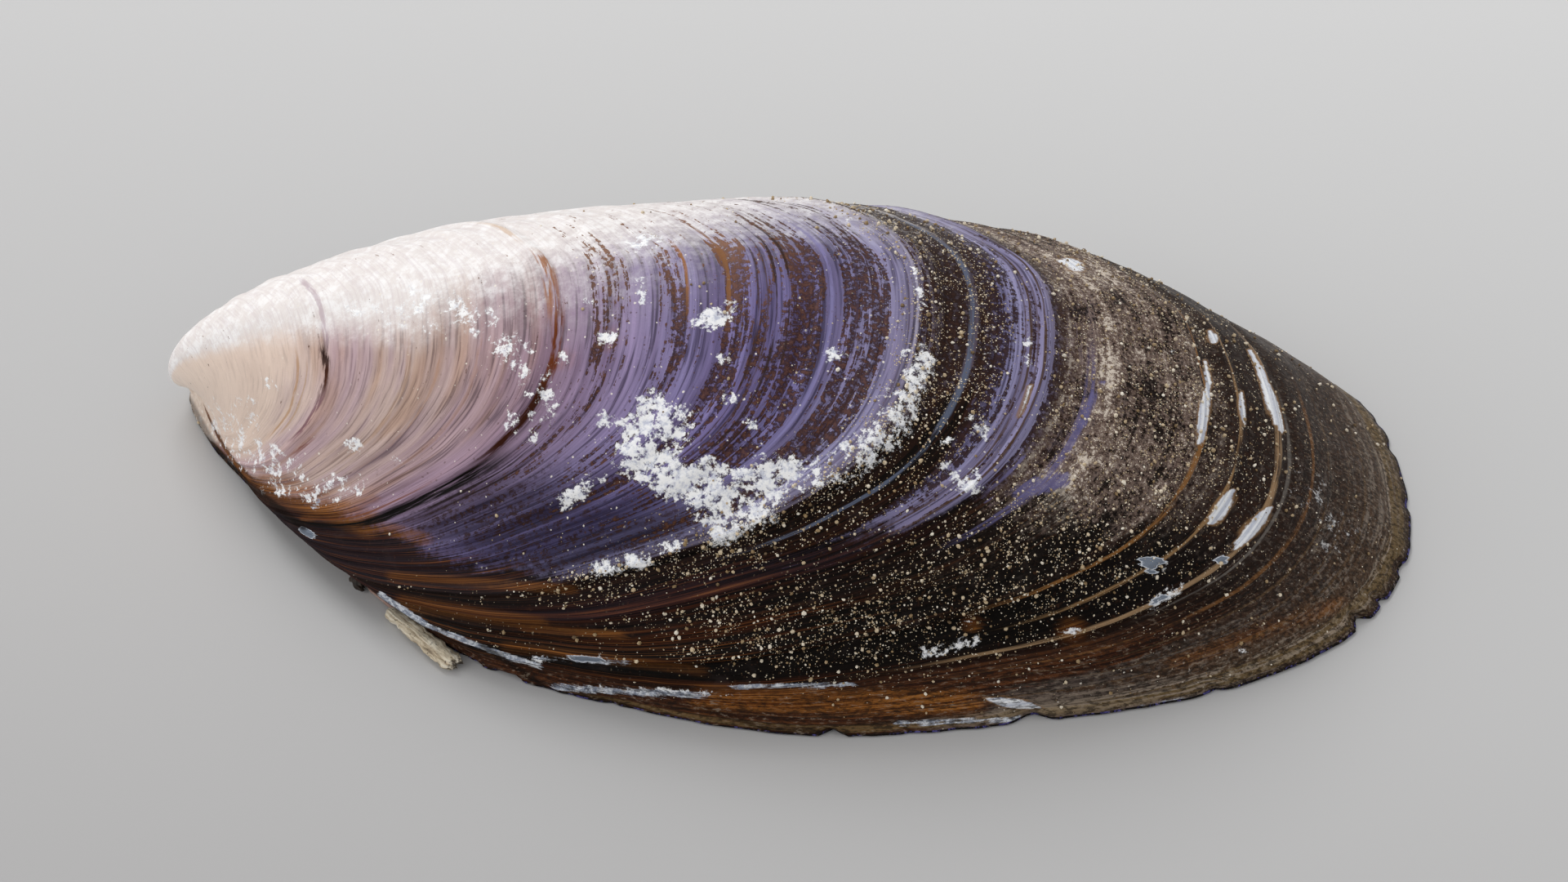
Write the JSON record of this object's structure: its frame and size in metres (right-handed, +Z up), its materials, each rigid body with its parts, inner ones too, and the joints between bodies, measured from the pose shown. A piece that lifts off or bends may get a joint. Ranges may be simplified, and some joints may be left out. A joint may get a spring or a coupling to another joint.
{
  "type": "mussel shell",
  "caption": "Blue mussel valve lying hollow side down: a smooth domed wedge with growth ledges, worn white patches, a thin chipped edge and a torn strip of hinge ligament",
  "frame": {"origin": "on the rim plane, under the middle of the whole shell", "axes": "+X runs along the shell from the beak to the rounded rear end, +Y points to the lower edge of the living animal, away from the hinge edge, and +Z points up through the crown"},
  "size_m": [0.0708, 0.0364, 0.0171],
  "materials": {
    "shell": "satin mollusc shell, pale peach at the beak through violet to brown-black at the edge, pearly inside",
    "ligament": "dry horny strip, straw coloured with dark torn edges"
  },
  "bodies": {
    "root": {"valve": "shell", "ligament": "ligament"}
  },
  "joints": []
}
